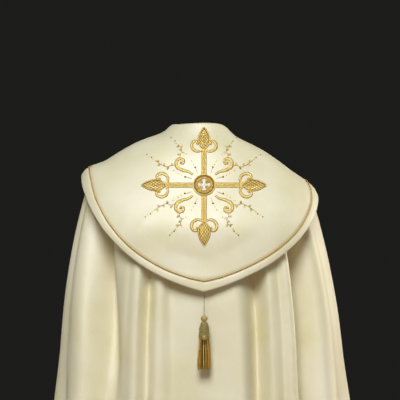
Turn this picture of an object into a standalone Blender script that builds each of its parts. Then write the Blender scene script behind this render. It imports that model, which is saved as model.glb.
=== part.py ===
"""A cope: a half-circle cloak worn over the shoulders, with a shield-shaped hood down the back.

The wearer faces -Y and stands along +Z. The origin is the centre of the neck, where the cope is held.
All sizes are in metres and all angles in degrees. An angle of 0 is the middle of the back (+Y),
+90 is the wearer's left shoulder (+X), -90 the right one, and +-180 the middle of the front.
"""

import math
import random
from collections import namedtuple

import bmesh
import bpy
from mathutils import Matrix, Vector
from mathutils.bvhtree import BVHTree

# Cloth walls and the gaps between pieces that touch
MANTLE_WALL = 0.0022
HOOD_WALL = 0.0028
SEAM_GAP = 0.0004

# The mantle, as sections a given distance down the cloth from the neck edge. Each section is an
# oval: its half-width and height at the sides, its depth and height at the back and at the front,
# how much its four quarters are squared out over the arms, and half the gap between the fronts.
Section = namedtuple("Section", "reach side_x side_z back_y back_z front_y front_z square gap")
SECTIONS = [
    Section(0.000, 0.058, -0.005, 0.063, 0.000, 0.070, -0.066, 0.000, 0.006),
    Section(0.030, 0.080, -0.026, 0.077, -0.027, 0.082, -0.093, 0.000, 0.006),
    Section(0.070, 0.115, -0.046, 0.097, -0.061, 0.098, -0.130, 0.005, 0.006),
    Section(0.120, 0.156, -0.070, 0.117, -0.107, 0.116, -0.176, 0.010, 0.006),
    Section(0.170, 0.197, -0.098, 0.133, -0.154, 0.132, -0.223, 0.020, 0.006),
    Section(0.200, 0.222, -0.116, 0.141, -0.183, 0.140, -0.252, 0.030, 0.006),
    Section(0.220, 0.237, -0.131, 0.145, -0.203, 0.145, -0.271, 0.040, 0.007),
    Section(0.240, 0.246, -0.149, 0.149, -0.222, 0.149, -0.291, 0.048, 0.007),
    Section(0.290, 0.260, -0.198, 0.156, -0.272, 0.157, -0.340, 0.060, 0.009),
    Section(0.380, 0.280, -0.287, 0.162, -0.361, 0.166, -0.428, 0.070, 0.011),
    Section(0.490, 0.298, -0.395, 0.166, -0.471, 0.176, -0.536, 0.070, 0.015),
    Section(0.650, 0.314, -0.554, 0.176, -0.631, 0.190, -0.690, 0.060, 0.022),
    Section(0.850, 0.334, -0.752, 0.201, -0.830, 0.208, -0.880, 0.045, 0.034),
    Section(1.100, 0.360, -1.000, 0.237, -1.077, 0.232, -1.112, 0.030, 0.052),
    Section(1.300, 0.386, -1.198, 0.270, -1.274, 0.250, -1.296, 0.020, 0.068),
    Section(1.450, 0.406, -1.346, 0.297, -1.422, 0.264, -1.433, 0.020, 0.082),
]
LENGTH = SECTIONS[-1].reach

# The folds, from the right front edge round the back to the left front edge: crests and valleys in
# turn. Each has its angle below the hood, at hip height and at the hem, and its height out of the
# oval at the hip and at the hem. A crest stands out, and a valley is pressed in.
Fold = namedtuple("Fold", "top hip hem rise rise_hem")
FOLDS = [
    Fold(-180, -180, -180, 0.000, 0.008),
    Fold(-163, -162, -165, -0.022, -0.052),
    Fold(-150, -149, -151, 0.006, 0.040),
    Fold(-137, -136, -138, -0.030, -0.066),
    Fold(-122, -121, -124, 0.008, 0.040),
    Fold(-107, -106, -111, -0.022, -0.066),
    Fold(-88, -88, -96, 0.003, 0.036),
    Fold(-70, -68, -82, -0.010, -0.058),
    Fold(-58, -56, -67, 0.004, 0.042),
    Fold(-46, -48, -55, -0.030, -0.070),
    Fold(-40, -41, -43, 0.006, 0.042),
    Fold(-35, -36, -33, -0.006, -0.052),
    Fold(-31, -31, -23, -0.003, 0.034),
    Fold(-25, -25, -13, -0.019, -0.064),
    Fold(-6, -10, -1, 0.001, 0.036),
    Fold(19, 15, 13, -0.013, -0.060),
    Fold(21, 19, 23, -0.003, 0.032),
    Fold(24, 22, 34, -0.013, -0.056),
    Fold(33, 30, 45, 0.005, 0.042),
    Fold(40, 34, 57, -0.034, -0.066),
    Fold(60, 51, 69, 0.004, 0.040),
    Fold(76, 70, 83, -0.012, -0.058),
    Fold(88, 85, 95, 0.003, 0.036),
    Fold(104, 102, 108, -0.022, -0.064),
    Fold(118, 117, 121, 0.008, 0.040),
    Fold(133, 132, 135, -0.030, -0.066),
    Fold(147, 146, 149, 0.006, 0.040),
    Fold(161, 160, 164, -0.022, -0.052),
    Fold(180, 180, 180, 0.000, 0.008),
]
SEAM_ANGLE = 88
FOLD_START, FOLD_FULL, HIP = 0.10, 0.36, 0.60
CREST_ROUNDNESS = 1.25
FOLD_STEPS = 3
SHOULDER_STEP, SKIRT_STEP, SKIRT_FROM = 0.030, 0.105, 0.30

# The wearer's left shoulder is a little higher and further out than the right
LEAN, LEAN_SHOULDER = -0.004, 0.070
SWAY = 0.010
LEAN_GONE = -0.95

# The hood: how far it reaches from the neck edge at each angle either side of the back
HoodEdge = namedtuple("HoodEdge", "angle reach")
HOOD_EDGE = [
    HoodEdge(0, 0.3740),
    HoodEdge(8, 0.3650),
    HoodEdge(18, 0.3540),
    HoodEdge(30, 0.3350),
    HoodEdge(42, 0.3100),
    HoodEdge(54, 0.2825),
    HoodEdge(68, 0.2570),
    HoodEdge(80, 0.2380),
    HoodEdge(92, 0.2200),
    HoodEdge(115, 0.1880),
    HoodEdge(145, 0.1480),
    HoodEdge(180, 0.1120),
]
HOOD_BAND = 0.022
HOOD_LIFT_NECK, HOOD_LIFT_SHOULDER, HOOD_LIFT_TIP = 0.0010, 0.0090, 0.0240
HOOD_COLUMNS, HOOD_ROWS = 60, 9
PIPING = 0.0032

# The gold cross sewn on the hood: four arms that end in a three-petalled flower, round a disc. The
# hood leans back, so heights along it are this much less when they are measured upright.
CROSS_CENTRE_Z = -0.134
CROSS_LEAN = 0.95
CROSS_LIFT, CROSS_WALL = 0.0006, 0.0016
CROSS_FACET = 0.014
DISC_RADIUS, DISC_SIDES = 0.0235, 28

# Half of an arm's outline: a bar that narrows, a side petal that curls out, and a pointed middle
# petal. Each corner is its distance from the cross's centre and from the arm's middle line.
Corner = namedtuple("Corner", "along across")
ARM = [
    Corner(0.0245, 0.0062),
    Corner(0.0500, 0.0055),
    Corner(0.0720, 0.0046),
    Corner(0.0760, 0.0085),
    Corner(0.0730, 0.0170),
    Corner(0.0790, 0.0235),
    Corner(0.0890, 0.0245),
    Corner(0.0960, 0.0180),
    Corner(0.0980, 0.0100),
    Corner(0.1040, 0.0122),
    Corner(0.1120, 0.0118),
    Corner(0.1220, 0.0078),
    Corner(0.1310, 0.0008),
]

# The tassel hangs by a thin cord from the hood's point
STRING_LENGTH, STRING = 0.047, 0.0014
KNOB_RADIUS, KNOB_HEIGHT = 0.0072, 0.0125
BELL_HEIGHT, BELL_TOP, BELL_FOOT = 0.0290, 0.0048, 0.0115
BUTTON_RADIUS = 0.0055
SKIRT_LENGTH, SKIRT_TOP, SKIRT_FOOT = 0.0700, 0.0118, 0.0155
SKIRT_BACKING = 0.003
STRAND_COUNT, STRAND_BENDS = 22, 3
STRAND, STRAND_GAP = 0.0038, 0.00035

# The plain tab that holds the fronts together on the chest
TAB_WIDTH, TAB_HEIGHT, TAB_WALL, TAB_REACH, TAB_LIFT = 0.118, 0.050, 0.003, 0.162, 0.0007
TAB_COLUMNS, TAB_ROWS = 12, 3

CREAM = (0.80, 0.74, 0.58, 1.0)
GOLD = (0.58, 0.38, 0.10, 1.0)
BRONZE = (0.36, 0.22, 0.06, 1.0)


def smooth(value):
    """0 below 0, 1 above 1, and an even S-curve between."""
    value = min(1.0, max(0.0, value))
    return value * value * (3 - 2 * value)


def read(rows, at, column):
    """A column of a table, read at a place between its rows along a smooth curve. The first column
    of a row is its place."""
    last = len(rows) - 1
    i = next((k for k in range(last) if at < rows[k + 1][0]), last - 1)

    def slope(k):
        low, high = rows[max(0, k - 1)], rows[min(last, k + 1)]
        return (getattr(high, column) - getattr(low, column)) / (high[0] - low[0])

    start, end = rows[i], rows[i + 1]
    span = end[0] - start[0]
    t = (at - start[0]) / span
    return (
        getattr(start, column) * (2 * t**3 - 3 * t**2 + 1)
        + slope(i) * span * (t**3 - 2 * t**2 + t)
        + getattr(end, column) * (3 * t**2 - 2 * t**3)
        + slope(i + 1) * span * (t**3 - t**2)
    )


def oval(angle, reach):
    """The point of the unfolded cloak at an angle and at a distance down the cloth."""
    value = {name: read(SECTIONS, reach, name) for name in Section._fields[1:]}
    # The fronts stop short of the middle by the gap
    edge = 180 - math.degrees(math.asin(value["gap"] / value["side_x"]))
    turn = math.radians(angle * edge / 180)
    side, fore = math.sin(turn), math.cos(turn)
    depth, height = ("back_y", "back_z") if fore > 0 else ("front_y", "front_z")
    quarter = 1 + value["square"] * math.sin(2 * turn) ** 2
    x = value["side_x"] * side * quarter
    y = value[depth] * fore * quarter
    z = value["side_z"] * side**2 + value[height] * fore**2
    upright = 1 - smooth(z / LEAN_GONE)
    z += x * (LEAN + LEAN_SHOULDER * side**4) * upright
    x += SWAY * side**2 * upright
    return Vector((x, y, z))


def outward(angle, reach):
    """The unfolded cloak's outward direction, square to the cloth."""
    step, low = 0.5, max(reach - 0.002, 0)
    round_it = oval(min(angle + step, 180), reach) - oval(max(angle - step, -180), reach)
    down_it = oval(angle, reach + 0.002) - oval(angle, low)
    return round_it.cross(down_it).normalized()


def fold_at(place, reach):
    """(angle, rise) of the folded cloth. A whole number for place is that row of FOLDS."""
    i = min(int(place), len(FOLDS) - 2)

    def lines(fold):
        if reach < HIP:
            share = smooth((reach - FOLD_START) / (HIP - FOLD_START))
            angle = fold.top + (fold.hip - fold.top) * share
            rise = fold.rise * smooth((reach - FOLD_START) / (FOLD_FULL - FOLD_START))
        else:
            share = (reach - HIP) / (LENGTH - HIP)
            angle = fold.hip + (fold.hem - fold.hip) * smooth(share)
            rise = fold.rise + (fold.rise_hem - fold.rise) * share
        return angle, rise

    (angle_a, rise_a), (angle_b, rise_b) = lines(FOLDS[i]), lines(FOLDS[i + 1])
    t = place - i
    # Crests are broad and valleys narrow
    warped = t**CREST_ROUNDNESS if rise_a > rise_b else 1 - (1 - t) ** CREST_ROUNDNESS
    share = (1 - math.cos(math.pi * warped)) / 2
    return angle_a + (angle_b - angle_a) * t, rise_a + (rise_b - rise_a) * share


def mantle_face(place, reach):
    """A point of the mantle's outer face."""
    angle, rise = fold_at(place, reach)
    level = outward(angle, reach)
    level.z = 0
    return oval(angle, reach) + level.normalized() * rise


def mantle_point(place, reach, depth=0.0, shift=0.0):
    """A point that deep inside the mantle's outer face, and that far along it to the wearer's left."""
    before, after = max(place - 0.02, 0), min(place + 0.02, len(FOLDS) - 1)
    here = mantle_face(place, reach)
    along = mantle_face(after, reach) - mantle_face(before, reach)
    down = mantle_face(place, reach + 0.002) - mantle_face(place, max(reach - 0.002, 0))
    inward = down.cross(along).normalized()
    return here + inward * depth + along.normalized() * shift


def hood_reach(angle):
    return read(HOOD_EDGE, abs(angle), "reach")


def hood_point(angle, reach, lift=0.0):
    """A point of the hood's inner face, or that far outside it. The hood is stiff: it lies on the
    shoulders and stands off the mantle below them."""
    clear = HOOD_LIFT_NECK + (HOOD_LIFT_SHOULDER - HOOD_LIFT_NECK) * smooth(reach / 0.10)
    clear += (HOOD_LIFT_TIP - HOOD_LIFT_SHOULDER) * smooth((reach - 0.18) / 0.20)
    return oval(angle, reach) + outward(angle, reach) * (clear + lift)


def material(name, colour, roughness):
    made = bpy.data.materials.new(name)
    made.use_nodes = True
    shader = made.node_tree.nodes["Principled BSDF"]
    shader.inputs["Base Color"].default_value = colour
    shader.inputs["Roughness"].default_value = roughness
    shader.inputs["Metallic"].default_value = 0.0
    return made


def add_object(name, bm, finish, modifiers=()):
    """An object from a bmesh, with its outward faces and its modifiers, given as (type, settings)."""
    mesh = bpy.data.meshes.new(name)
    bm.to_mesh(mesh)
    bm.free()
    mesh.materials.append(finish)
    mesh.shade_smooth()
    obj = bpy.data.objects.new(name, mesh)
    cope.objects.link(obj)
    for kind, settings in modifiers:
        modifier = obj.modifiers.new(kind.title(), kind)
        for key, value in settings.items():
            setattr(modifier, key, value)
    return obj


def slab(name, columns, rows, place, finish):
    """A cloth wall bent from a flat slab, so that the edges of two neighbours stay parallel. Every
    point is placed by place(column, row, outside), and outside is True on the slab's outer face."""
    bm = bmesh.new()
    bmesh.ops.create_grid(bm, x_segments=columns, y_segments=rows, size=0.5)
    bmesh.ops.solidify(bm, geom=bm.faces[:], thickness=1.0)
    bmesh.ops.recalc_face_normals(bm, faces=bm.faces)
    outer = min(vert.co.z for vert in bm.verts)
    for vert in bm.verts:
        column = round((vert.co.x + 0.5) * columns)
        row = round((0.5 - vert.co.y) * rows)
        vert.co = place(column, row, vert.co.z < outer + 0.5)
    bmesh.ops.triangulate(bm, faces=bm.faces)
    return add_object(name, bm, finish)


def make_mantle(finish):
    """The back and the two fronts, hung in folds and joined by a seam from each shoulder to the hem.
    Their rows are closer together over the shoulders."""
    shoulder_rows = round(SKIRT_FROM / SHOULDER_STEP)
    skirt_rows = round((LENGTH - SKIRT_FROM) / SKIRT_STEP)
    rows = shoulder_rows + skirt_rows
    seams = [0] + [i for i, fold in enumerate(FOLDS) if abs(fold.top) == SEAM_ANGLE]
    seams.append(len(FOLDS) - 1)
    for name, first, last in zip(("mantle_right", "mantle_back", "mantle_left"), seams, seams[1:]):
        columns = (last - first) * FOLD_STEPS

        def place(column, row, outside):
            if row <= shoulder_rows:
                reach = SKIRT_FROM * row / shoulder_rows
            else:
                reach = SKIRT_FROM + (LENGTH - SKIRT_FROM) * (row - shoulder_rows) / skirt_rows
            depth = 0.0 if outside else MANTLE_WALL
            shift = {0: SEAM_GAP / 2, columns: -SEAM_GAP / 2}.get(column, 0.0)
            return mantle_point(first + column / FOLD_STEPS, reach, depth, shift)

        slab(name, columns, rows, place, finish)


def hood_angle(column):
    """The angle of a column of the hood. Columns crowd a little towards the middle of the back."""
    share = 2 * column / HOOD_COLUMNS - 1
    return 180 * math.copysign(abs(share) ** 1.15, share)


def make_hood(finish):
    """The shield-shaped hood: its panel, and the band sewn round the panel's edge."""

    def panel_place(column, row, outside):
        angle = hood_angle(column)
        reach = (hood_reach(angle) - HOOD_BAND) * row / HOOD_ROWS
        return hood_point(angle, reach, HOOD_WALL if outside else 0.0)

    def band_place(column, row, outside):
        angle = hood_angle(column)
        reach = hood_reach(angle) - (0.0 if row else HOOD_BAND - SEAM_GAP)
        return hood_point(angle, reach, HOOD_WALL if outside else 0.0)

    slab("hood_band", HOOD_COLUMNS, 1, band_place, finish)
    return slab("hood_panel", HOOD_COLUMNS, HOOD_ROWS, panel_place, finish)


def tube(name, points, thickness, finish, resolution):
    """A round cord along the points."""
    curve = bpy.data.curves.new(name, "CURVE")
    curve.dimensions = "3D"
    curve.bevel_depth = thickness / 2
    curve.bevel_resolution = resolution
    curve.use_fill_caps = True
    spline = curve.splines.new("POLY")
    spline.points.add(len(points) - 1)
    for target, point in zip(spline.points, points):
        target.co = (*point, 1)
    curve.materials.append(finish)
    obj = bpy.data.objects.new(name, curve)
    cope.objects.link(obj)
    return obj


def make_piping(finish):
    """The gold cord that covers the seam between the hood's panel and its band."""
    lift = HOOD_WALL + PIPING / 2 + SEAM_GAP
    points = []
    for column in range(HOOD_COLUMNS + 1):
        angle = hood_angle(column)
        points.append(hood_point(angle, hood_reach(angle) - HOOD_BAND, lift))
    tube("hood_piping", points, PIPING, finish, 1)


def on_hood(bm, hood_tree):
    """Moves a flat bmesh, drawn in X and Z about the cross's centre, onto the hood's outer face."""
    for vert in bm.verts:
        behind = Vector((vert.co.x, 1.0, CROSS_CENTRE_Z + vert.co.z * CROSS_LEAN))
        hit, normal, _, _ = hood_tree.ray_cast(behind, Vector((0, -1, 0)))
        vert.co = hit + normal * CROSS_LIFT


def applique(name, outline, hood_tree, finish):
    """A flat shape in X and Z, cut into small facets, laid on the hood and thickened."""
    bm = bmesh.new()
    bm.faces.new([bm.verts.new((x, 0, z)) for x, z in outline])
    for axis in (Vector((1, 0, 0)), Vector((0, 0, 1))):
        for step in range(-10, 10):
            bmesh.ops.bisect_plane(
                bm,
                geom=bm.verts[:] + bm.edges[:] + bm.faces[:],
                plane_co=axis * ((step + 0.5) * CROSS_FACET),
                plane_no=axis,
                dist=1e-5,
            )
    bmesh.ops.triangulate(bm, faces=bm.faces)
    on_hood(bm, hood_tree)
    bm.normal_update()
    if sum(face.normal.y for face in bm.faces) < 0:
        bmesh.ops.reverse_faces(bm, faces=bm.faces)
    add_object(name, bm, finish, [("SOLIDIFY", {"thickness": CROSS_WALL, "offset": 1.0})])


def make_cross(panel, finish):
    """The cross on the back of the hood: a disc and four arms round it."""
    bpy.context.view_layer.update()
    hood_tree = BVHTree.FromObject(panel, bpy.context.evaluated_depsgraph_get())
    disc = []
    for side in range(DISC_SIDES):
        turn = math.tau * side / DISC_SIDES
        disc.append((DISC_RADIUS * math.cos(turn), DISC_RADIUS * math.sin(turn)))
    applique("cross_disc", disc, hood_tree, finish)
    whole = ARM + [Corner(corner.along, -corner.across) for corner in reversed(ARM)]
    for name, turn in (("left", 0), ("top", 90), ("right", 180), ("foot", 270)):
        turning = Matrix.Rotation(math.radians(turn), 2)
        outline = [turning @ Vector(corner) for corner in whole]
        applique("cross_arm_" + name, outline, hood_tree, finish)


def turned(name, profile, steps, finish):
    """A closed turned shape round +Z. The profile is (radius, height) rows, from top to bottom."""
    bm = bmesh.new()
    verts = [bm.verts.new((radius, 0, height)) for radius, height in profile]
    for a, b in zip(verts, verts[1:]):
        bm.edges.new((a, b))
    screw = {"steps": steps, "render_steps": steps, "merge_threshold": 0.00005}
    screw.update({"use_merge_vertices": True, "use_normal_calculate": False})
    return add_object(name, bm, finish, [("SCREW", screw)])


def make_tassel(panel_tip, gold, bronze):
    """The cord, knob, bell, button and skirt of strands, straight below the hood's point."""
    top = panel_tip - Vector((0, 0, 3 * SEAM_GAP))
    knob_top = top - Vector((0, 0, STRING_LENGTH))
    cord = [top.lerp(knob_top, step / 6) for step in range(7)]
    tube("tassel_string", cord, STRING, bronze, 2)

    rings = 7
    ball = []
    for ring in range(rings + 1):
        turn = math.pi * ring / rings
        height = KNOB_HEIGHT / 2 * math.cos(turn)
        ball.append((KNOB_RADIUS * math.sin(turn), height))
    knob = turned("tassel_knob", ball, 14, gold)
    knob.location = knob_top - Vector((0, 0, KNOB_HEIGHT / 2 + SEAM_GAP))

    bell_top = knob_top - Vector((0, 0, KNOB_HEIGHT + 2 * SEAM_GAP))
    profile = [(0, 0), (BELL_TOP, 0)]
    for step in range(1, 7):
        share = step / 6
        radius = BELL_TOP + (BELL_FOOT - BELL_TOP) * smooth(0.15 + 0.85 * share)
        profile.append((radius, -BELL_HEIGHT * share))
    profile.append((0, -BELL_HEIGHT))
    turned("tassel_bell", profile, 16, gold).location = bell_top

    button = bell_top + Vector((0, BELL_FOOT + BUTTON_RADIUS + 0.0016, -BELL_HEIGHT - 0.002))
    bm = bmesh.new()
    bmesh.ops.create_uvsphere(bm, u_segments=12, v_segments=8, radius=BUTTON_RADIUS)
    add_object("tassel_button", bm, gold).location = button

    make_skirt(bell_top - Vector((0, 0, BELL_HEIGHT + SEAM_GAP)), gold)


def make_skirt(top, finish):
    """Two rings of strands, each drawn out of its own face under a thin round backing."""
    rng = random.Random(7)
    bm = bmesh.new()
    bmesh.ops.create_cone(
        bm,
        cap_ends=True,
        segments=STRAND_COUNT,
        radius1=SKIRT_TOP,
        radius2=SKIRT_TOP,
        depth=SKIRT_BACKING,
    )
    foot = next(face for face in bm.faces if face.normal.z < -0.9)
    rings = []
    for _ in range(2):
        inset = bmesh.ops.inset_region(bm, faces=[foot], thickness=STRAND, use_even_offset=True)
        rings.append(inset["faces"])
    spread = (SKIRT_FOOT - SKIRT_TOP) / STRAND_BENDS
    for flare, faces in zip((1.0, 0.75), rings):
        bmesh.ops.inset_individual(bm, faces=faces, thickness=STRAND_GAP)
        for _ in range(STRAND_BENDS):
            faces = bmesh.ops.extrude_discrete_faces(bm, faces=faces)["faces"]
            for face in faces:
                middle = face.calc_center_median()
                out = Vector((middle.x, middle.y, 0)).normalized()
                drop = SKIRT_LENGTH / STRAND_BENDS * rng.uniform(0.97, 1.01)
                move = out * (spread * flare + rng.uniform(-1, 1) * 0.0003)
                for vert in face.verts:
                    vert.co += move - Vector((0, 0, drop))
    skirt = add_object("tassel_skirt", bm, finish)
    skirt.location = top - Vector((0, 0, SKIRT_BACKING / 2))


def make_tab(finish):
    """The tab across the gap between the fronts, shaped to the chest just outside the mantle."""

    def place(column, row, outside):
        x = TAB_WIDTH * (0.5 - column / TAB_COLUMNS)
        reach = TAB_REACH + TAB_HEIGHT * (row / TAB_ROWS - 0.5)
        angle = 180 - math.degrees(math.asin(abs(x) / read(SECTIONS, reach, "side_x")))
        lift = 2 * TAB_LIFT + (TAB_WALL if outside else 0.0)
        chest = oval(angle, reach) + outward(angle, reach) * lift
        return Vector((x, chest.y, chest.z))

    slab("front_tab", TAB_COLUMNS, TAB_ROWS, place, finish)


def main():
    cream = material("cream_satin", CREAM, 0.45)
    gold = material("gold_thread", GOLD, 0.40)
    bronze = material("bronze_thread", BRONZE, 0.50)
    make_mantle(cream)
    panel = make_hood(cream)
    make_piping(gold)
    make_cross(panel, gold)
    tip_reach = hood_reach(0)
    make_tassel(hood_point(0, tip_reach, HOOD_WALL / 2), gold, bronze)
    make_tab(cream)


for old in list(bpy.data.objects):
    bpy.data.objects.remove(old)
cope = bpy.data.collections.new("cope")
bpy.context.scene.collection.children.link(cope)
main()
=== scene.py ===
import bpy, math
import numpy as np
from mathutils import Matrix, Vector
from mathutils.bvhtree import BVHTree


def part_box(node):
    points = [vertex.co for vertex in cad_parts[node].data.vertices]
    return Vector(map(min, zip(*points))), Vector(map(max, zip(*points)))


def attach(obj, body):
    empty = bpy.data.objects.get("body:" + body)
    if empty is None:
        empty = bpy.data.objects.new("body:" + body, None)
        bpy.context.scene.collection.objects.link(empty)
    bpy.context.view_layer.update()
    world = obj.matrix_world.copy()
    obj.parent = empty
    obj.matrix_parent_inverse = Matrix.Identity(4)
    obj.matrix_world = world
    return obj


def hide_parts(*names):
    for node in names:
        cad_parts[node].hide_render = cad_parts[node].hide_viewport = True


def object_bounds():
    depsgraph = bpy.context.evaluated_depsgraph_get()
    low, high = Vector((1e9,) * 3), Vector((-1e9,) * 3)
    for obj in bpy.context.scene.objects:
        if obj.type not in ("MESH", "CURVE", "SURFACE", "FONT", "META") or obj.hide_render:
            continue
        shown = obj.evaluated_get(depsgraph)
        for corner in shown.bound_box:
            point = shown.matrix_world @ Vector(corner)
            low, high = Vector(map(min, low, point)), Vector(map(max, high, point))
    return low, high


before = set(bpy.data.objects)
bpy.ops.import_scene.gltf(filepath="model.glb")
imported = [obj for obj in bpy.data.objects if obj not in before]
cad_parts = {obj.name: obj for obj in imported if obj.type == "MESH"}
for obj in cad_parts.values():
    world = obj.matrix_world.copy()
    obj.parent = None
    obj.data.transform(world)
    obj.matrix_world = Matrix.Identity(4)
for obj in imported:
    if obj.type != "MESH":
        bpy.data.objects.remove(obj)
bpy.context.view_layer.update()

# The wearer faces -Y and stands along +Z, so the hood is on the +Y side. An angle of 0 is the
# middle of the back, +90 the wearer's left shoulder (+X), and +-180 the middle of the front.
# Everything is in metres unless a name says otherwise.

camera = {"place": (0.0085, 2.70, -0.165), "lens": 110, "sensor": 36}


def makeCamera():
    data = bpy.data.cameras.new("camera")
    data.lens, data.sensor_width = camera["lens"], camera["sensor"]
    data.clip_end = 60
    obj = bpy.data.objects.new("camera", data)
    obj.location = camera["place"]
    obj.rotation_euler = (math.radians(90), 0, math.radians(180))  # level, looking along -Y
    bpy.context.scene.collection.objects.link(obj)
    bpy.context.scene.camera = obj
    bpy.context.scene.view_settings.view_transform = "Standard"  # true colours, with no film curve
    print("camera ready")


makeCamera()


# Colours and nodes

def linear(hexColour):
    values = [int(hexColour[i:i + 2], 16) / 255 for i in (1, 3, 5)]
    return [v / 12.92 if v <= 0.04045 else ((v + 0.055) / 1.055) ** 2.4 for v in values] + [1.0]


def addNode(tree, kind, settings=None, links=None):
    node = tree.nodes.new(kind)
    for name, value in (settings or {}).items():
        if name == "stops":  # the places and colours of a colour ramp
            for element, (at, hexColour) in zip(node.color_ramp.elements, value):
                element.position, element.color = at, linear(hexColour)
        elif isinstance(name, int) or name in node.inputs:
            node.inputs[name].default_value = value
        else:
            setattr(node, name, value)
    for name, source in (links or {}).items():
        tree.links.new(source, node.inputs[name])
    return node


def newMaterial(name, settings):
    made = bpy.data.materials.new(name)
    made.use_nodes = True
    shader = made.node_tree.nodes["Principled BSDF"]
    for socket, value in settings.items():
        shader.inputs[socket].default_value = value
    return made, made.node_tree, shader


# Duchesse satin, woven warp-faced from polyester and calendered: a smooth face that carries a soft,
# broad sheen, with long floats of thread that only show close to.
satin = {
    "light": "#E2D9BA", "deep": "#D5CB9C",
    "threadSpacing": 0.0011,   # the real one is 0.12 mm, too fine to show, so it is drawn coarser
    "floatLength": 0.014,
    "cloudScale": 9.0,         # patches about 110 mm across
    "roughness": 0.60, "specular": 0.90, "ior": 1.80,
}


def makeSatin(name):
    material, tree, shader = newMaterial(name, {
        "Roughness": satin["roughness"], "Specular IOR Level": satin["specular"], "IOR": satin["ior"]})
    uv = addNode(tree, "ShaderNodeUVMap", {"uv_map": "cut"}).outputs["UV"]
    # Cloudy patches a hand wide, where the calendered face took the light differently
    clouds = addNode(tree, "ShaderNodeTexNoise", {"Scale": satin["cloudScale"], "Detail": 3.0},
                     {"Vector": uv})
    stretched = addNode(tree, "ShaderNodeMapping", {
        "Scale": (1 / satin["threadSpacing"], 1 / satin["floatLength"], 1.0)}, {"Vector": uv})
    floats = addNode(tree, "ShaderNodeTexNoise", {"Scale": 1.0, "Detail": 2.0},
                     {"Vector": stretched.outputs["Vector"]})
    both = addNode(tree, "ShaderNodeMath", {"operation": "MULTIPLY_ADD", 1: 0.35},
                   {0: floats.outputs["Fac"], 2: clouds.outputs["Fac"]})
    colour = addNode(tree, "ShaderNodeValToRGB", {
        "stops": [(0.42, satin["deep"]), (0.82, satin["light"])]}, {"Fac": both.outputs[0]})
    tree.links.new(colour.outputs["Color"], shader.inputs["Base Color"])
    rough = addNode(tree, "ShaderNodeMapRange", {"To Min": satin["roughness"] - 0.05,
                    "To Max": satin["roughness"] + 0.07}, {"Value": floats.outputs["Fac"]})
    tree.links.new(rough.outputs["Result"], shader.inputs["Roughness"])
    bump = addNode(tree, "ShaderNodeBump", {"Strength": 0.05, "Distance": 0.0002},
                   {"Height": floats.outputs["Fac"]})
    tree.links.new(bump.outputs["Normal"], shader.inputs["Normal"])
    return material


# Metallic embroidery thread: a strip of gilded film wound round a polyester core, which glints in
# short dashes along each stitch.
def makeThread(name, light, deep, roughness, metallic, windPitch=0.0009):
    material, tree, shader = newMaterial(name, {
        "Roughness": roughness, "Metallic": metallic, "Specular IOR Level": 0.5})
    tone = addNode(tree, "ShaderNodeAttribute", {"attribute_name": "tone"}).outputs["Fac"]
    uv = addNode(tree, "ShaderNodeUVMap", {"uv_map": "cut"}).outputs["UV"]
    grain = addNode(tree, "ShaderNodeTexNoise", {"Scale": 1 / windPitch, "Detail": 2.0},
                    {"Vector": uv})
    mixed = addNode(tree, "ShaderNodeMath", {"operation": "MULTIPLY_ADD", 1: 0.5},
                    {0: grain.outputs["Fac"], 2: tone})
    colour = addNode(tree, "ShaderNodeValToRGB", {"stops": [(0.20, deep), (0.846, light)]},
                     {"Fac": mixed.outputs[0]})
    tree.links.new(colour.outputs["Color"], shader.inputs["Base Color"])
    bump = addNode(tree, "ShaderNodeBump", {"Strength": 0.25, "Distance": 0.0002},
                   {"Height": grain.outputs["Fac"]})
    tree.links.new(bump.outputs["Normal"], shader.inputs["Normal"])
    return material


# The shape of the cloak, the same as its solids have

# reach down the cloth; half-width and height at the sides; depth and height at the back and at the
# front; how much the quarters are squared out over the arms; half the gap between the fronts
sectionColumns = ("reach", "sideX", "sideZ", "backY", "backZ", "frontY", "frontZ", "square", "gap")
sections = [
    (0.000, 0.058, -0.005, 0.063, 0.000, 0.070, -0.066, 0.000, 0.006),
    (0.030, 0.080, -0.026, 0.077, -0.027, 0.082, -0.093, 0.000, 0.006),
    (0.070, 0.115, -0.046, 0.097, -0.061, 0.098, -0.130, 0.005, 0.006),
    (0.120, 0.156, -0.070, 0.117, -0.107, 0.116, -0.176, 0.010, 0.006),
    (0.170, 0.197, -0.098, 0.133, -0.154, 0.132, -0.223, 0.020, 0.006),
    (0.200, 0.222, -0.116, 0.141, -0.183, 0.140, -0.252, 0.030, 0.006),
    (0.220, 0.237, -0.131, 0.145, -0.203, 0.145, -0.271, 0.040, 0.007),
    (0.240, 0.246, -0.149, 0.149, -0.222, 0.149, -0.291, 0.048, 0.007),
    (0.290, 0.260, -0.198, 0.156, -0.272, 0.157, -0.340, 0.060, 0.009),
    (0.380, 0.280, -0.287, 0.162, -0.361, 0.166, -0.428, 0.070, 0.011),
    (0.490, 0.298, -0.395, 0.166, -0.471, 0.176, -0.536, 0.070, 0.015),
    (0.650, 0.314, -0.554, 0.176, -0.631, 0.190, -0.690, 0.060, 0.022),
    (0.850, 0.334, -0.752, 0.201, -0.830, 0.208, -0.880, 0.045, 0.034),
    (1.100, 0.360, -1.000, 0.237, -1.077, 0.232, -1.112, 0.030, 0.052),
    (1.300, 0.386, -1.198, 0.270, -1.274, 0.250, -1.296, 0.020, 0.068),
    (1.450, 0.406, -1.346, 0.297, -1.422, 0.264, -1.433, 0.020, 0.082),
]
lean = {"all": -0.004, "shoulder": 0.070, "sway": 0.010, "goneBy": -0.95}


def smooth(value):
    value = np.clip(value, 0, 1)
    return value * value * (3 - 2 * value)


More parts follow.
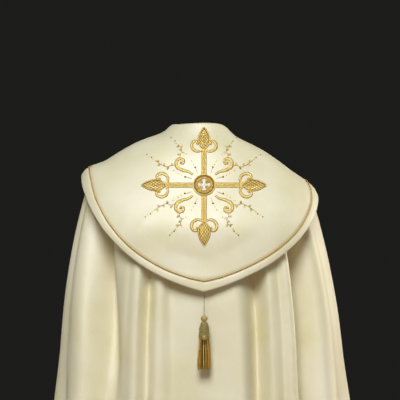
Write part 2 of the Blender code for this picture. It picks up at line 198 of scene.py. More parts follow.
def readTable(rows, at, column):
    # a column of a table, along a smooth curve through its rows; the first column is the place
    table = np.array(rows, float)
    place, value = table[:, 0], table[:, column]
    last = len(table) - 1
    low = np.maximum(np.arange(last + 1) - 1, 0)
    high = np.minimum(np.arange(last + 1) + 1, last)
    slope = (value[high] - value[low]) / (place[high] - place[low])
    i = np.clip(np.searchsorted(place, at, side="right") - 1, 0, last - 1)
    span = place[i + 1] - place[i]
    t = (np.asarray(at, float) - place[i]) / span
    return (value[i] * (2 * t**3 - 3 * t**2 + 1) + slope[i] * span * (t**3 - 2 * t**2 + t)
            + value[i + 1] * (3 * t**2 - 2 * t**3) + slope[i + 1] * span * (t**3 - t**2))


def unit(vectors):
    return vectors / np.maximum(np.linalg.norm(vectors, axis=-1, keepdims=True), 1e-12)


def cloakPoint(angle, reach):
    angle, reach = np.broadcast_arrays(np.asarray(angle, float), np.asarray(reach, float))
    size = {name: readTable(sections, reach, i) for i, name in enumerate(sectionColumns) if i}
    edge = 180 - np.degrees(np.arcsin(size["gap"] / size["sideX"]))
    turn = np.radians(angle * edge / 180)
    side, fore = np.sin(turn), np.cos(turn)
    depth = np.where(fore > 0, size["backY"], size["frontY"])
    height = np.where(fore > 0, size["backZ"], size["frontZ"])
    quarter = 1 + size["square"] * np.sin(2 * turn) ** 2
    x = size["sideX"] * side * quarter
    y = depth * fore * quarter
    z = size["sideZ"] * side**2 + height * fore**2
    upright = 1 - smooth(z / lean["goneBy"])
    z = z + x * (lean["all"] + lean["shoulder"] * side**4) * upright
    x = x + lean["sway"] * side**2 * upright
    return np.stack([x, y, z], -1)


def cloakOutward(angle, reach):
    angle, reach = np.broadcast_arrays(np.asarray(angle, float), np.asarray(reach, float))
    onward, back = np.minimum(angle + 0.5, 180), np.maximum(angle - 0.5, -180)
    roundIt = cloakPoint(onward, reach) - cloakPoint(back, reach)
    downIt = cloakPoint(angle, reach + 0.002) - cloakPoint(angle, np.maximum(reach - 0.002, 0))
    return unit(np.cross(roundIt, downIt))


# Mesh makers

def lengthsAlong(path):
    # how far along a path each of its points lies
    return np.concatenate([[0], np.cumsum(np.linalg.norm(np.diff(path, axis=0), axis=1))])


def gridFaces(grid):
    rows, columns = grid.shape[:2]
    index = np.arange(rows * columns).reshape(rows, columns)
    corners = [index[:-1, :-1], index[:-1, 1:], index[1:, 1:], index[1:, :-1]]
    return np.stack(corners, -1).reshape(-1, 4)


def shellOf(name, grid, cut, wall, material, flip=False, thickness=None):
    # a thin cloth shell from a grid of points on its outer face; cut holds each point's place on the
    # flat cloth, and the wall goes inward
    faces = gridFaces(grid)
    if flip:
        faces = faces[:, ::-1]
    mesh = bpy.data.meshes.new(name)
    mesh.from_pydata(grid.reshape(-1, 3).tolist(), [], faces.tolist())
    layer = mesh.uv_layers.new(name="cut")
    layer.data.foreach_set("uv", cut.reshape(-1, 2)[faces.reshape(-1)].reshape(-1))
    mesh.shade_smooth()
    mesh.materials.append(material)
    obj = bpy.data.objects.new(name, mesh)
    bpy.context.scene.collection.objects.link(obj)
    thicken = obj.modifiers.new("wall", "SOLIDIFY")
    thicken.thickness, thicken.offset = wall, -1.0
    if thickness is not None:  # how thick the wall is at each point, as a share of the whole
        group = obj.vertex_groups.new(name="thickness")
        for i, share in enumerate(thickness.reshape(-1)):
            group.add([i], float(share), "REPLACE")
        thicken.vertex_group = "thickness"
    return obj


class Basket:
    # gathers the threads of one embroidered or corded piece, to be made into one mesh
    def __init__(self):
        self.points, self.faces, self.slots, self.tones, self.cuts, self.count = [], [], [], [], [], 0

    def add(self, points, faces, slot=0, tone=0.5, cut=None):
        self.points.append(points)
        self.faces.append(faces + self.count)
        self.slots.append(np.full(len(faces), slot))
        self.tones.append(np.broadcast_to(np.asarray(tone, float), (len(points),)))
        self.cuts.append(points[:, [0, 2]] if cut is None else cut)
        self.count += len(points)

    def pour(self, name, materials):
        points = np.concatenate(self.points)
        faces = np.concatenate(self.faces)
        mesh = bpy.data.meshes.new(name)
        mesh.from_pydata(points.tolist(), [], faces.tolist())
        mesh.polygons.foreach_set("material_index", np.concatenate(self.slots).astype(np.int32))
        layer = mesh.uv_layers.new(name="cut")
        layer.data.foreach_set("uv", np.concatenate(self.cuts)[faces.reshape(-1)].reshape(-1))
        tone = mesh.attributes.new("tone", "FLOAT", "POINT")
        tone.data.foreach_set("value", np.concatenate(self.tones).astype(np.float32))
        mesh.shade_smooth()
        for material in materials:
            mesh.materials.append(material)
        obj = bpy.data.objects.new(name, mesh)
        bpy.context.scene.collection.objects.link(obj)
        return obj


def tubeFaces(runs, steps, sides):
    # faces of `runs` tubes of `steps` rings of `sides` points each
    i, j, k = np.meshgrid(np.arange(runs), np.arange(steps - 1), np.arange(sides), indexing="ij")
    a = (i * steps + j) * sides + k
    b = (i * steps + j) * sides + (k + 1) % sides
    return np.stack([a, b, b + sides, a + sides], -1).reshape(-1, 4)


def layThreads(basket, paths, ups, width, height, slot=0, tone=0.5, taper=0.35):
    # paths (threads, steps, 3) become low rounded threads that lie on ups, thinner at both ends
    sides = 4
    runs, steps = paths.shape[:2]
    along = unit(np.gradient(paths, axis=1))
    across = unit(np.cross(along, ups))
    up = np.cross(across, along)
    swell = taper + (1 - taper) * np.sin(np.pi * (0.06 + 0.88 * np.linspace(0, 1, steps)))
    turn = np.pi / 4 + 2 * np.pi * np.arange(sides) / sides
    ring = (across[:, :, None] * np.cos(turn)[None, None, :, None] * width / 2
            + up[:, :, None] * np.sin(turn)[None, None, :, None] * height / 2)
    points = paths[:, :, None] + ring * swell[None, :, None, None]
    parts = np.linalg.norm(np.diff(paths, axis=1), axis=-1)
    length = np.concatenate([np.zeros((runs, 1)), np.cumsum(parts, 1)], 1)[:, :, None]
    cut = np.stack(np.broadcast_arrays(length, np.arange(sides)[None, None] * width * 0.3), -1)
    shade = np.broadcast_to(np.asarray(tone, float).reshape(-1, 1, 1), (runs, steps, sides))
    basket.add(points.reshape(-1, 3), tubeFaces(runs, steps, sides), slot, shade.reshape(-1),
               cut.reshape(-1, 2))


def frameAlong(path):
    # an even set of across and up directions along a path, without twist
    along = unit(np.gradient(path, axis=0))
    up = np.zeros_like(path)
    here = np.array([0.0, 1.0, 0.0]) if abs(along[0][1]) < 0.9 else np.array([1.0, 0.0, 0.0])
    for i, direction in enumerate(along):
        here = here - direction * here.dot(direction)
        here = here / np.linalg.norm(here)
        up[i] = here
    return np.cross(along, up), up


def resample(path, spacing):
    length = lengthsAlong(path)
    count = max(4, int(round(length[-1] / spacing)) + 1)
    at = np.linspace(0, length[-1], count)
    return np.stack([np.interp(at, length, path[:, i]) for i in range(3)], 1), length[-1]


def twistCord(basket, path, thickness, pitch, strands=3, slot=0, tones=(0.75, 0.5, 0.25), sides=5,
              stepsPerTurn=8):
    # a cord laid up from strands that wind round the path
    path, length = resample(path, pitch / stepsPerTurn)
    across, up = frameAlong(path)
    at = np.linspace(0, length, len(path))
    strand = thickness * (0.27 if strands == 3 else 0.26)
    paths = []
    for k in range(strands):
        turn = 2 * np.pi * (at / pitch + k / strands)
        off = (thickness / 2 - strand) * 1.02
        paths.append(path + off * (across * np.cos(turn)[:, None] + up * np.sin(turn)[:, None]))
    for k, line in enumerate(paths):
        side, rise = frameAlong(line)
        turn = 2 * np.pi * np.arange(sides) / sides
        points = line[:, None] + strand * (side[:, None] * np.cos(turn)[None, :, None]
                                           + rise[:, None] * np.sin(turn)[None, :, None])
        cut = np.stack(np.broadcast_arrays(at[:, None], np.arange(sides)[None] * strand), -1)
        basket.add(points.reshape(-1, 3), tubeFaces(1, len(line), sides), slot,
                   tones[k % len(tones)], cut.reshape(-1, 2))


def finishPiece(obj, slot, *nodes):
    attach(obj, "root")
    if nodes:
        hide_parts(*nodes)
    return obj


# The tassel cord comes first, because its place settles the rest

# Each is named for its fibre and its use: gilded film glints, spun rayon has a soft gloss, and a
# bronze cord and the sewing thread are dull.
bronze = makeThread("spunBronzeCord", "#7C6332", "#3E2C10", 0.50, 0.10)
gold = makeThread("gildedEmbroideryThread", "#FBDD80", "#BE8622", 0.30, 0.15)
goldDark = makeThread("gildedOchreThread", "#DAB04A", "#6A4E12", 0.36, 0.20)
outline = makeThread("bronzeOutlineThread", "#8E6A2C", "#553A10", 0.42, 0.15)
rayon = makeThread("spunRayonFringe", "#DDB04E", "#4C3208", 0.38, 0.15, windPitch=0.0014)
headRayon = makeThread("spunRayonHead", "#B9A262", "#5E4E20", 0.50, 0.10)
white = makeThread("whiteStitch", "#FBF6E6", "#E6DEC4", 0.45, 0.0)
stitchCream = makeThread("creamSewingThread", "#EFE7CC", "#D2C79F", 0.5, 0.0)
cream = makeSatin("creamDuchesseSatin")

tasselString = {"thickness": 0.0014, "pitch": 0.0036}


def makeTasselString():
    low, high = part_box("tassel_string")
    middle = (low + high) / 2
    top, foot = Vector((middle.x, middle.y, high.z)), Vector((middle.x, middle.y, low.z))
    path = np.array([top.lerp(foot, i / 24) for i in range(25)])
    basket = Basket()
    twistCord(basket, path, tasselString["thickness"], tasselString["pitch"], strands=2,
              tones=(0.8, 0.35))
    obj = finishPiece(basket.pour("tasselString", [bronze]), "bronze_thread", "tassel_string")


makeTasselString()
print("tassel string ready")


# The mantle: a back and two fronts, hung in folds

# Crests and valleys in turn, from the right front edge round the back to the left front edge: the
# angle of each below the hood, at the hip and at the hem, and its height at the hip and at the hem
folds = [
    (-180, -180, -180, 0.000, 0.008),
    (-163, -162, -165, -0.022, -0.052),
    (-150, -149, -151, 0.006, 0.040),
    (-137, -136, -138, -0.030, -0.066),
    (-122, -121, -124, 0.008, 0.040),
    (-107, -106, -111, -0.022, -0.066),
    (-88, -88, -96, 0.003, 0.036),
    (-70, -68, -82, -0.004, -0.058),
    (-58, -56, -67, 0.004, 0.042),
    (-44, -41.6, -55, -0.037, -0.072),
    (-38, -36, -43, 0.006, 0.042),
    (-34, -32, -33, -0.004, -0.052),
    (-30, -28, -23, -0.001, 0.034),
    (-24, -22.6, -13, -0.045, -0.070),
    (-9, -13.5, -1, 0.001, 0.036),
    (17.5, 12.5, 13, -0.014, -0.060),
    (20.5, 18.6, 23, -0.001, 0.032),
    (25.2, 23.3, 34, -0.022, -0.062),
    (29.5, 27.5, 42, 0.006, 0.042),
    (33.5, 31.5, 47, -0.001, 0.006),
    (52, 43, 57, -0.012, -0.066),
    (77, 52, 69, 0.004, 0.040),
    (83, 70, 83, -0.004, -0.058),
    (88, 85, 95, 0.003, 0.036),
    (104, 102, 108, -0.022, -0.064),
    (118, 117, 121, 0.008, 0.040),
    (133, 132, 135, -0.030, -0.066),
    (147, 146, 149, 0.006, 0.040),
    (161, 160, 164, -0.022, -0.052),
    (180, 180, 180, 0.000, 0.008),
]

mantle = {
    "length": 1.450,
    "wall": 0.0012,
    "hemWall": 0.0021,
    "hem": 0.028,
    "seamAngle": 88,
    "seamGap": 0.0006,
    "columnsPerFold": 14,
    "rows": 150,
    "seamDip": 0.0014, "seamDipWidth": 0.004,
    "frontDip": 0.0004, "frontDipWidth": 0.003,
    "foldStart": 0.10, "foldFull": 0.36, "hip": 0.60,
    "crestRoundness": 1.25, "valleySharpness": 0.35,
}


def foldAt(place, reach):
    # (angle, rise) of the folded cloth; a whole number for place is that row of the folds
    table = np.array(folds, float)
    place, reach = np.broadcast_arrays(np.asarray(place, float), np.asarray(reach, float))
    i = np.minimum(place.astype(int), len(folds) - 2)

    def lineOf(k):
        top, hip, hem, rise, riseHem = np.moveaxis(table[k], -1, 0)
        upper = smooth((reach - mantle["foldStart"]) / (mantle["hip"] - mantle["foldStart"]))
        full = smooth((reach - mantle["foldStart"]) / (mantle["foldFull"] - mantle["foldStart"]))
        lower = np.clip((reach - mantle["hip"]) / (mantle["length"] - mantle["hip"]), 0, 1)
        above = reach < mantle["hip"]
        angle = np.where(above, top + (hip - top) * upper, hip + (hem - hip) * smooth(lower))
        return angle, np.where(above, rise * full, rise + (riseHem - rise) * lower)

    (angleA, riseA), (angleB, riseB) = lineOf(i), lineOf(i + 1)
    t = place - i
    power = mantle["crestRoundness"]
    warped = np.where(riseA > riseB, t**power, 1 - (1 - t) ** power)
    rounded = (1 - np.cos(np.pi * warped)) / 2
    sharp = np.where(riseA > riseB, 1 - np.cos(np.pi / 2 * t), np.sin(np.pi / 2 * t))
    share = rounded + (sharp - rounded) * mantle["valleySharpness"]
    return angleA + (angleB - angleA) * t, riseA + (riseB - riseA) * share


# Creases laid over the folds: the angle and reach where each starts and where it ends, its width to
# the left and to the right of its line, and its height. A negative height is a hollow.
creases = [
    (-18, 0.18, -18.5, 1.30, 0.024, 0.012, 0.008),
    (11, 0.20, 10, 1.30, 0.022, 0.026, 0.003),
    (55, 0.24, 51, 1.30, 0.030, 0.018, 0.006),
    (61, 0.10, 31, 0.72, 0.044, 0.024, -0.046),
    (39, 0.24, 37.5, 1.30, 0.048, 0.020, -0.024),
    (-48, 0.14, -44, 0.70, 0.014, 0.040, -0.036),
    (-43, 0.22, -40, 1.20, 0.009, 0.012, -0.008),
]


def creaseAt(angle, reach):
    total = np.zeros(np.broadcast(angle, reach).shape)
    perDegree = np.linalg.norm(cloakPoint(angle + 0.5, reach) - cloakPoint(angle - 0.5, reach), axis=-1)
    for angleTop, reachTop, angleFoot, reachFoot, left, right, height in creases:
        t = (reach - reachTop) / (reachFoot - reachTop)
        line = angleTop + (angleFoot - angleTop) * np.clip(t, 0, 1)
        off = (angle - line) * perDegree
        width = np.where(off > 0, left, right)
        ends = smooth(t / 0.25) * smooth((1 - t) / 0.55)
        total = total + height * np.exp(-(off / width) ** 2) * ends
    return total


def waver(angle, reach, seed, height):
    # slow unevenness, as cloth that has been worn has
    rng = np.random.default_rng(seed)
    total = np.zeros(np.broadcast(angle, reach).shape)
    for _ in range(9):
        across, down, start = rng.uniform(0.06, 0.22), rng.uniform(3.0, 11.0), rng.uniform(0, 6.28)
        total = total + np.sin(angle * across + reach * down + start)
    return total * height / 9


def mantlePoint(place, reach):
    angle, rise = foldAt(place, reach)
    level = cloakOutward(angle, reach)
    level[..., 2] = 0
    fade = smooth((reach - 0.12) / 0.15)
    rise = rise + fade * (creaseAt(angle, reach) + waver(angle, reach, 5, 0.0020))
    return cloakPoint(angle, reach) + unit(level) * rise[..., None]


def makeMantle():
    end = len(folds) - 1
    seams = [i for i, fold in enumerate(folds) if abs(fold[0]) == mantle["seamAngle"]]
    for name, node, first, last in (("mantleRightFront", "mantle_right", 0, seams[0]),
                                    ("mantleBack", "mantle_back", seams[0], seams[1]),
                                    ("mantleLeftFront", "mantle_left", seams[1], end)):
        columns = (last - first) * mantle["columnsPerFold"] + 1
        place = np.linspace(first, last, columns)
        # closer rows at the hem, where the edge turns in
        reach = np.concatenate([np.linspace(0, mantle["length"] - 0.012, mantle["rows"]),
                                mantle["length"] - np.array([0.008, 0.004, 0.0015, 0.0])])
        placeGrid, reachGrid = np.meshgrid(place, reach)
        grid = mantlePoint(placeGrid, reachGrid)
        # the edges turn in by a hair, which draws each seam as a fine line
        step = np.linalg.norm(np.diff(grid, axis=1), axis=-1)
        across = np.concatenate([np.zeros((len(reach), 1)), np.cumsum(step, 1)], 1)
        width = across[:, -1:]
        toEdge = np.minimum(across, width - across)
        along = np.gradient(grid, axis=1)
        inward = unit(np.cross(np.gradient(grid, axis=0), along))
        dip = mantle["seamDip"] * np.exp(-(toEdge / mantle["seamDipWidth"]) ** 2)
        frontDip = mantle["frontDip"] * np.exp(-(toEdge / mantle["frontDipWidth"]) ** 2)
        if first == 0:
            dip = np.where(across < width - across, frontDip, dip)
        if last == end:
            dip = np.where(across > width - across, frontDip, dip)
        grid = grid + inward * dip[..., None]
        sideways = unit(along)
        grid[:, 0] += sideways[:, 0] * mantle["seamGap"] / 2
        grid[:, -1] -= sideways[:, -1] * mantle["seamGap"] / 2
        cut = np.stack([across - width / 2, np.broadcast_to(-reachGrid, across.shape)], -1)
        # the hem and the front edges are turned in and double the cloth
        toFoot = mantle["length"] - reachGrid
        doubled = 1 - smooth((toFoot - mantle["hem"]) / 0.004)
        if first == 0:
            doubled = np.maximum(doubled, 1 - smooth((across - mantle["hem"]) / 0.004))
        if last == end:
            doubled = np.maximum(doubled, 1 - smooth((width - across - mantle["hem"]) / 0.004))
        share = (mantle["wall"] + (mantle["hemWall"] - mantle["wall"]) * doubled) / mantle["hemWall"]
        obj = shellOf(name, grid, cut, mantle["hemWall"], cream, thickness=share)
        finishPiece(obj, "cream_satin", node)


makeMantle()
print("mantle ready")


# The hood

# The hood's edge and its band: angle, reach of the edge, and how much of that reach the band takes
hoodEdges = {
    "left": [(0, 0.3740, 0.0220), (8, 0.3640, 0.0195), (18, 0.3500, 0.0185), (30, 0.3275, 0.0185),
             (42, 0.2985, 0.0205), (54, 0.2715, 0.0245), (68, 0.2475, 0.0265), (80, 0.2330, 0.0220),
             (92, 0.2240, 0.0180), (104, 0.2080, 0.0190), (118, 0.1860, 0.0220), (145, 0.1480, 0.0220),
             (180, 0.1120, 0.0220)],
    "right": [(0, 0.3740, 0.0220), (8, 0.3640, 0.0195), (18, 0.3505, 0.0185), (30, 0.3325, 0.0185),
              (42, 0.3080, 0.0190), (54, 0.2802, 0.0215), (68, 0.2535, 0.0275), (80, 0.2400, 0.0335),
              (92, 0.2370, 0.0340), (104, 0.2150, 0.0270), (118, 0.1870, 0.0220), (145, 0.1480, 0.0220),
              (180, 0.1120, 0.0220)],
}

hood = {
    "wall": 0.0024,
    "bandWidth": 0.022,
    "columns": 420,
    "rows": 110,
    "bandRows": 14,
    "liftNeck": 0.0010, "liftShoulder": 0.0090, "liftTip": 0.0170,
    "standLeft": 0.010, "standRight": 0.003, "standAngle": 92, "standWidth": 26,  # off the shoulders
    "solidWall": 0.0028,       # the outer face of the panel lies this far off the lining side
    "flat": (0.66, 0.56),
}

# Soft dents and swells of the stiff hood: centre x and z, half-width and half-height, tilt in
# degrees, and height outward
hoodSwells = [
    (0.000, -0.222, 0.220, 0.060, 0, 0.0185),
    (0.110, -0.095, 0.075, 0.060, 20, 0.0040),
    (0.130, -0.235, 0.012, 0.045, 35, 0.0022),
    (0.098, -0.262, 0.016, 0.040, 40, -0.0016),
    (0.060, -0.100, 0.013, 0.010, 30, -0.0014),
    (0.066, -0.168, 0.014, 0.010, -30, -0.0014),
    (-0.062, -0.100, 0.013, 0.010, -30, -0.0010),
    (-0.064, -0.170, 0.013, 0.010, 30, -0.0010),
    (0.035, -0.280, 0.045, 0.014, 15, -0.0016),
    (-0.070, -0.262, 0.050, 0.016, -25, -0.0018),
    (-0.150, -0.180, 0.030, 0.060, -15, 0.0020),
    (0.000, -0.325, 0.050, 0.012, 0, 0.0012),
]


def hoodEdge(angle):
    # (reach of the edge, how much of it the band takes)
    left, right = ([readTable(hoodEdges[side], np.abs(angle), column) for column in (1, 2)]
                   for side in ("left", "right"))
    return [np.where(np.asarray(angle) > 0, a, b) for a, b in zip(left, right)]


def hoodAngle(share):
    return 180 * np.sign(share) * np.abs(share) ** 1.15


def hoodPoint(angle, reach, lift=0.0):
    clear = hood["liftNeck"] + (hood["liftShoulder"] - hood["liftNeck"]) * smooth(reach / 0.10)
    clear = clear + (hood["liftTip"] - hood["liftShoulder"]) * smooth((reach - 0.18) / 0.20)
    for side, height in ((1, hood["standLeft"]), (-1, hood["standRight"])):
        off = (side * angle - hood["standAngle"]) / hood["standWidth"]
        clear = clear + height * np.exp(-off**2) * smooth((reach - 0.17) / 0.05)
    base = cloakPoint(angle, reach)
    out = cloakOutward(angle, reach)
    relief = waver(angle, reach, 11, 0.0009) * smooth(reach / 0.05)
    back = smooth(base[..., 1] / 0.05)
    for x, z, wide, high, tilt, height in hoodSwells:
        turn = math.radians(tilt)
        dx, dz = base[..., 0] - x, base[..., 2] - z
        a = (dx * math.cos(turn) + dz * math.sin(turn)) / wide
        b = (dz * math.cos(turn) - dx * math.sin(turn)) / high
        relief = relief + height * np.exp(-(a**2 + b**2)) * back
    return base + out * (clear + lift + relief)[..., None]


def makeHood():
    share = np.linspace(-1, 1, hood["columns"] + 1)
    angle = hoodAngle(share)[None, :]
    edge, band = hoodEdge(angle)
    down = np.concatenate([np.linspace(0, 0.97, hood["rows"]), [0.98, 0.988, 0.994, 0.998, 1.0]])[:, None]
    reach = (edge - band) * down
    toSeam = (edge - band) - reach
    # the panel dips into the seam under the piping, and its neck edge is rolled
    tuck = -0.0012 * np.exp(-(toSeam / 0.0032) ** 2) - 0.0008 * np.exp(-(reach / 0.002) ** 2)
    grid = hoodPoint(np.broadcast_to(angle, reach.shape), reach, hood["solidWall"] + tuck)
    spread = np.radians(angle * 0.67)
    cut = np.stack([(reach + 0.1) * np.sin(spread), -(reach + 0.1) * np.cos(spread)], -1)
    panel = shellOf("hoodPanel", grid, cut, hood["wall"], cream)
    finishPiece(panel, "cream_satin", "hood_panel")

    # the band, doubled over at its outer edge
    t = np.linspace(0, 1, hood["bandRows"])
    fromSeam = 0.0006 + (band - 0.0006) * (1 - (1 - t[:, None]) ** 1.6)
    reach = edge - band + fromSeam
    toEdge = band - fromSeam
    roll = -0.0012 * np.exp(-(fromSeam / 0.0032) ** 2) - 0.0013 * np.exp(-(toEdge / 0.0014) ** 2)
    puff = 0.0008 * np.sin(np.pi * np.clip(fromSeam / band, 0, 1))
    bandGrid = hoodPoint(np.broadcast_to(angle, reach.shape), reach, hood["solidWall"] + roll + puff)
    along = lengthsAlong(bandGrid[0])[None, :]
    bandCut = np.stack(np.broadcast_arrays(along, -fromSeam), -1)
    bandPiece = shellOf("hoodBand", bandGrid, bandCut, hood["wall"], cream)
    finishPiece(bandPiece, "cream_satin", "hood_band")
    # the embroidery is laid on this face by casting rays at it
    return BVHTree.FromPolygons([Vector(point) for point in grid.reshape(-1, 3)], gridFaces(grid).tolist())


hoodTree = makeHood()

piping = {"thickness": 0.0027, "pitch": 0.0052, "lift": 0.0010, "tones": (0.62, 0.42, 0.08)}


def makePiping():
    angle = hoodAngle(np.linspace(-1, 1, 900))
    edge, band = hoodEdge(angle)
    path = hoodPoint(angle, edge - band + 0.0003, hood["solidWall"] + piping["lift"])
    basket = Basket()
    twistCord(basket, path, piping["thickness"], piping["pitch"], tones=piping["tones"])
    finishPiece(basket.pour("hoodPiping", [goldDark]), "gold_thread", "hood_piping")


makePiping()
print("hood ready")


# The embroidery, laid on the hood: a cross with three-petalled ends round a rosette, and a sprig of
# leaves and knots in each quarter. Places are across and up from the middle of the cross.
embroidery = {
    "centreZ": -0.134, "lean": 0.95,
    "thread": 0.0010,          # the real one is 0.3 mm, too fine to show, so it is drawn coarser
    "padding": 0.0011,
    "discRadius": 0.0225,
}


def onHood(flat, lift):
    # (points, outward directions) on the hood for places across and up, raised by lift
    flat = np.asarray(flat, float)
    lift = np.broadcast_to(np.asarray(lift, float), flat.shape[:-1])
    points, ups = np.zeros(flat.shape[:-1] + (3,)), np.zeros(flat.shape[:-1] + (3,))
    for i in np.ndindex(flat.shape[:-1]):
        behind = Vector((flat[i][0], 1.0, embroidery["centreZ"] + flat[i][1] * embroidery["lean"]))
        hit, normal, _, _ = hoodTree.ray_cast(behind, Vector((0, -1, 0)))
        if normal.y < 0:
            normal = -normal
        points[i] = hit + normal * lift[i]
        ups[i] = normal
    return points, ups


def turned(flat, degrees):
    a = math.radians(degrees)
    flat = np.asarray(flat, float)
    return np.stack([flat[..., 0] * math.cos(a) - flat[..., 1] * math.sin(a),
                     flat[..., 0] * math.sin(a) + flat[..., 1] * math.cos(a)], -1)


def curveThrough(points, count):
    # a smooth line through a few places
    points = np.asarray(points, float)
    length = lengthsAlong(points)
    at = np.linspace(0, length[-1], count)
    rows = [(length[i], *points[i]) for i in range(len(points))]
    return np.stack([readTable(rows, at, 1), readTable(rows, at, 2)], 1)


def alongLine(line, share):
    at = share * (len(line) - 1)
    return np.stack([np.interp(at, np.arange(len(line)), line[:, i]) for i in (0, 1)], -1)


def leftOf(line):
    # directions square to a line, on its left
    along = np.gradient(line, axis=0)
    return unit(np.stack([-along[:, 1], along[:, 0]], 1))


def satinFill(basket, spine, halfWidth, slot=0, slant=0.10, padding=embroidery["padding"],
              tones=(0.35, 0.95), side=0, seed=1):
    # satin stitch: threads laid side by side across a spine, from edge to edge over a padded middle;
    # side 1 or -1 fills one half alone
    rng = np.random.default_rng(seed)
    length = lengthsAlong(spine)[-1]
    count = max(3, int(length / (embroidery["thread"] * 0.80)))
    share = np.linspace(0.0, 1.0, count)
    normal = leftOf(spine)

    def edgePoint(at, sign):
        at = np.clip(at, 0, 1)
        return alongLine(spine, at) + sign * alongLine(normal, at) * halfWidth(at)[:, None]

    jitter = rng.uniform(-0.2, 0.2, count) * embroidery["thread"] / length
    middle = alongLine(spine, np.clip(share - slant, 0, 1))
    start = middle if side < 0 else edgePoint(share + slant + jitter, 1)
    end = middle if side > 0 else edgePoint(share + (slant if side < 0 else -slant) + jitter, -1)
    steps = np.linspace(0, 1, 6)
    flat = start[:, None] + (end - start)[:, None] * steps[None, :, None]
    reach = np.linalg.norm(end - start, axis=1)
    dome = np.sin(np.pi * steps)[None, :] ** 0.6 * np.minimum(reach / 0.010, 1)[:, None] ** 0.7
    points, ups = onHood(flat, 0.0004 + padding * dome)
    tone = rng.uniform(tones[0], tones[1], count)
    layThreads(basket, points, ups, embroidery["thread"], embroidery["thread"] * 0.8, slot, tone,
               taper=0.6)


def couchCord(basket, line, slot, thickness, lift=0.0006, tones=(0.8, 0.5)):
    # a fine cord of two strands, couched down along a line
    points, _ = onHood(line, lift + thickness / 2)
    twistCord(basket, points, thickness, thickness * 3.0, strands=2, slot=slot, tones=tones, sides=4,
              stepsPerTurn=6)


def knot(basket, place, radius, slot=0, tone=0.6, lift=0.0004):
    # a French knot: a small wound dome
    point, up = onHood(np.array([place]), lift)
    point, up = point[0], up[0]
    across = unit(np.cross(up, [0, 0, 1.0]))
    fore = np.cross(across, up)
    rings, sides = 5, 8
    rows = []
    for r in range(rings):
        a = math.pi / 2 * r / (rings - 1)
        turn = 2 * np.pi * (np.arange(sides) / sides + r * 0.09)
        ring = radius * math.cos(a) + 1e-5
        rows.append(point + ring * (across * np.cos(turn)[:, None] + fore * np.sin(turn)[:, None])
                    + up * radius * 0.9 * math.sin(a))
    basket.add(np.concatenate(rows), tubeFaces(1, rings, sides), slot, tone)


cross = {
    "barStart": 0.0235, "barEnd": 0.0775,
    "rib": 0.0034, "ribThickness": 0.0028,
    "petalStart": 0.0800, "petalEnd": 0.1320, "petalHalfWidth": 0.0128,
    "trellis": 0.0086, "trellisSlope": 0.62,
    "hook": [(0.0775, 0.0030), (0.0755, 0.0130), (0.0800, 0.0225), (0.0900, 0.0262), (0.0985, 0.0220),
             (0.0990, 0.0155), (0.0935, 0.0140)],
    "hookHalfWidth": 0.0025,
    "trellisCord": 0.0011, "rimCord": 0.0022, "fineCord": 0.0008,
}


def sideLines(spine, halfWidth):
    # the two edges of a shape of the given half-widths round a spine
    half = leftOf(spine) * halfWidth(np.linspace(0, 1, len(spine)))[:, None]
    return spine + half, spine - half


def petalWidth(t):
    t = np.clip(t, 0, 1)
    swell = np.clip(np.sin(np.pi * t**0.86), 0, 1) ** 0.92
    return cross["petalHalfWidth"] * swell * (1 - 0.18 * t) + 0.0005


